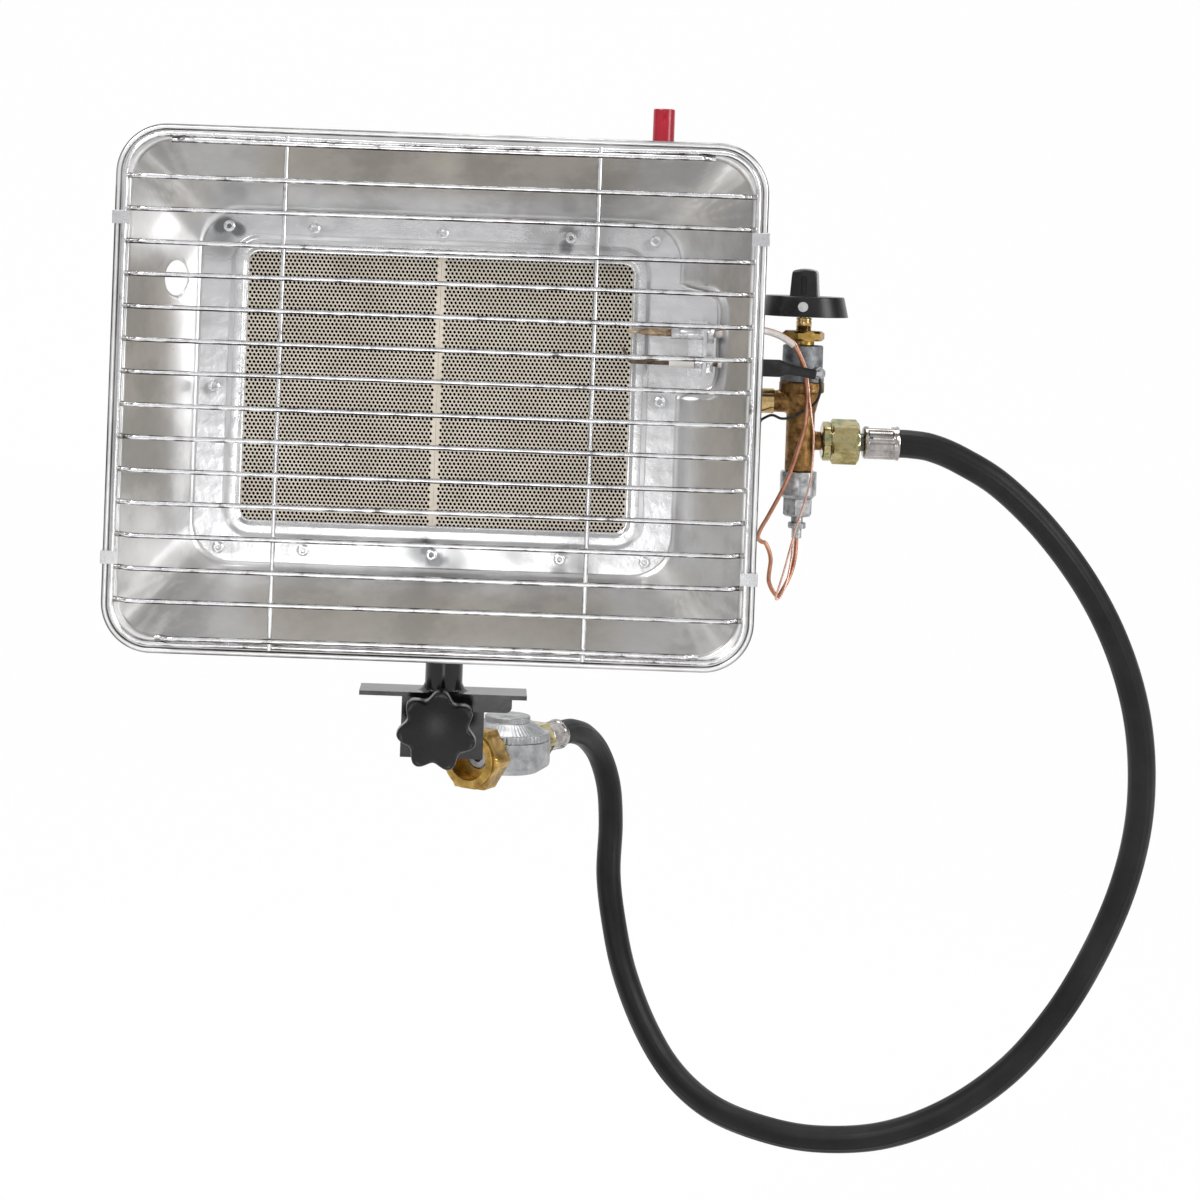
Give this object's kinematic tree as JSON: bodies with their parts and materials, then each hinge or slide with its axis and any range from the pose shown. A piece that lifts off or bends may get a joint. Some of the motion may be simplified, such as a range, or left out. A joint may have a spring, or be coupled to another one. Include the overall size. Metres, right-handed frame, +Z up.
{
  "type": "portable propane heater",
  "caption": "Infrared gas heater head with a wire grille on a tilting post, with a screw clamp, a knob valve, a push igniter, a hose and a regulator.",
  "frame": {"origin": "middle of the clamp plate's underside, where it rests on the edge that the clamp grips", "axes": "+X to the right seen from the front, +Y to the back, +Z up; the burner faces -Y"},
  "size_m": [0.5083, 0.331, 0.5301],
  "materials": {
    "satin_sheet": "satin",
    "bright_sheet": "bright, lightly mottled",
    "galvanised": "dull zinc",
    "chrome_wire": "bright chrome",
    "ceramic": "matt, perforated",
    "white_ceramic": "matt white",
    "fibre": "matt fibre",
    "brass": "cast and turned",
    "zinc_yellow": "yellow zinc, slightly iridescent",
    "cast_zinc": "grey die-cast",
    "steel": "bright steel",
    "black_plastic": "satin black",
    "black_paint": "glossy black",
    "grey_plastic": "matt grey",
    "red_plastic": "glossy red",
    "copper": "drawn copper",
    "white_sleeving": "glass-fibre sleeving",
    "black_rubber": "matt, moulded",
    "alloy": "blasted die-cast"
  },
  "bodies": {
    "clamp": {"post": "black_paint", "clamp_plate": "black_paint", "front_jaw": "black_paint", "tilt_bolt": "steel", "gas_hose": "black_rubber", "hose_end": "zinc_yellow", "regulator_body": "alloy", "regulator_cap": "alloy"},
    "head": {"reflector": "satin_sheet", "burner_frame": "bright_sheet", "frame_rivets": "bright_sheet", "plaque_left": "ceramic", "plaque_right": "ceramic", "plaque_gasket": "fibre", "burner_housing": "galvanised", "gas_spreader": "galvanised", "venturi_tube": "galvanised", "injector": "brass", "valve_bracket": "galvanised", "grille_ring": "chrome_wire", "grille_bars": "chrome_wire", "grille_stays": "chrome_wire", "grille_clips": "bright_sheet", "electrode_bracket": "bright_sheet", "igniter_insulator": "white_ceramic", "igniter_rod": "steel", "thermocouple_probe": "steel", "electrode_nuts": "steel", "valve_body": "brass", "valve_bonnet": "cast_zinc", "stem_bushing": "brass", "panel_nut": "brass", "spindle_spring": "steel", "magnet_housing": "cast_zinc", "magnet_nut": "cast_zinc", "inlet_ring": "zinc_yellow", "inlet_nut": "zinc_yellow", "hose_ferrule": "steel", "thermocouple_lead": "copper", "lead_sleeve": "white_sleeving", "sensor_wire": "copper", "earth_sleeve": "black_plastic", "earth_terminal": "steel", "earth_screw": "steel", "earth_wire": "black_plastic", "piezo_body": "black_plastic", "piezo_bracket": "galvanised", "ignition_lead": "white_sleeving", "tilt_bracket": "galvanised", "bracket_screws": "steel"},
    "push_plate": {"push_plate": "steel"},
    "gas_knob": {"gas_spindle": "brass", "gas_knob": "black_plastic", "knob_dot": "grey_plastic"},
    "igniter_button": {"piezo_button": "red_plastic"},
    "pad": {"swivel_pad": "steel"},
    "star_screw": {"star_knob": "black_plastic", "clamp_screw": "steel"},
    "wing_nut": {"wing_nut": "steel"},
    "regulator_nut": {"regulator_nut": "brass"}
  },
  "joints": [
    {"name": "head_tilt", "type": "hinge", "parent": "clamp", "child": "head", "pos_m": [0, 0, 0.057], "axis": [1, 0, 0], "range_deg": [-25, 30], "deforming": ["gas_hose"]},
    {"name": "knob_push", "type": "slide", "parent": "head", "child": "push_plate", "axis": [0, 0, -1], "range_m": [0, 0.004], "stiffness_N_per_m": 1500, "springref_m": -0.002, "deforming": ["spindle_spring"]},
    {"name": "knob_turn", "type": "hinge", "parent": "push_plate", "child": "gas_knob", "pos_m": [0.1665, -0.002, 0.19], "axis": [0, 0, 1], "range_deg": [0, 180]},
    {"name": "igniter_press", "type": "slide", "parent": "head", "child": "igniter_button", "axis": [0, 0, -1], "range_m": [0, 0.007], "stiffness_N_per_m": 1000, "springref_m": -0.002},
    {"name": "clamp_travel", "type": "slide", "parent": "clamp", "child": "pad", "axis": [0, 1, 0], "range_m": [-0.002, 0.005]},
    {"name": "clamp_turn", "type": "hinge", "parent": "pad", "child": "star_screw", "pos_m": [-0.002, 0, -0.0122], "axis": [0, 1, 0], "range_deg": [-576, 1440]},
    {"name": "wing_nut_turn", "type": "hinge", "parent": "clamp", "child": "wing_nut", "pos_m": [0.012, 0, 0.057], "axis": [1, 0, 0], "range_deg": [0, 180]},
    {"name": "regulator_nut_spin", "type": "hinge", "parent": "clamp", "child": "regulator_nut", "pos_m": [0.0125, 0.0986, -0.05], "axis": [0.5, 0.866, 0], "continuous": true}
  ],
  "couplings": [
    {"joint": "clamp_turn", "follows": "clamp_travel", "rad_per_m": 5026.5}
  ]
}
